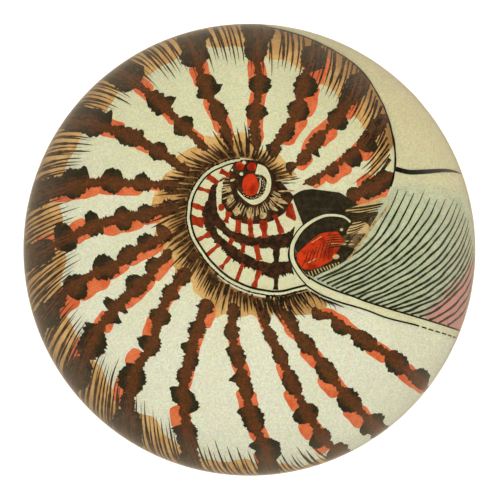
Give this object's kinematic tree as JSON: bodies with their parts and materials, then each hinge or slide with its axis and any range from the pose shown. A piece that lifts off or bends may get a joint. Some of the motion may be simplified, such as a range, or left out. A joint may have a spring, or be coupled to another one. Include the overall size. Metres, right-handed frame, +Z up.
{
  "type": "glass dome paperweight",
  "caption": "Round domed clear glass paperweight with a printed shell picture under the glass and a felt pad on its flat underside.",
  "frame": {"origin": "centre of the felt pad's underside, where the paperweight rests", "axes": "+Z up through the crown of the dome; +Y towards the top of the printed picture; +X towards its right"},
  "size_m": [0.0888, 0.0888, 0.0281],
  "materials": {
    "clear_glass": "polished clear glass, IOR 1.5",
    "printed_paper": "cream wove paper printed with a hand-coloured shell engraving in sepia, vermilion, ochre and pale green",
    "wool_felt": "matt dark green pressed wool felt"
  },
  "bodies": {
    "root": {"glass_dome": "clear_glass", "printed_sheet": "printed_paper", "felt_pad": "wool_felt"}
  },
  "joints": []
}
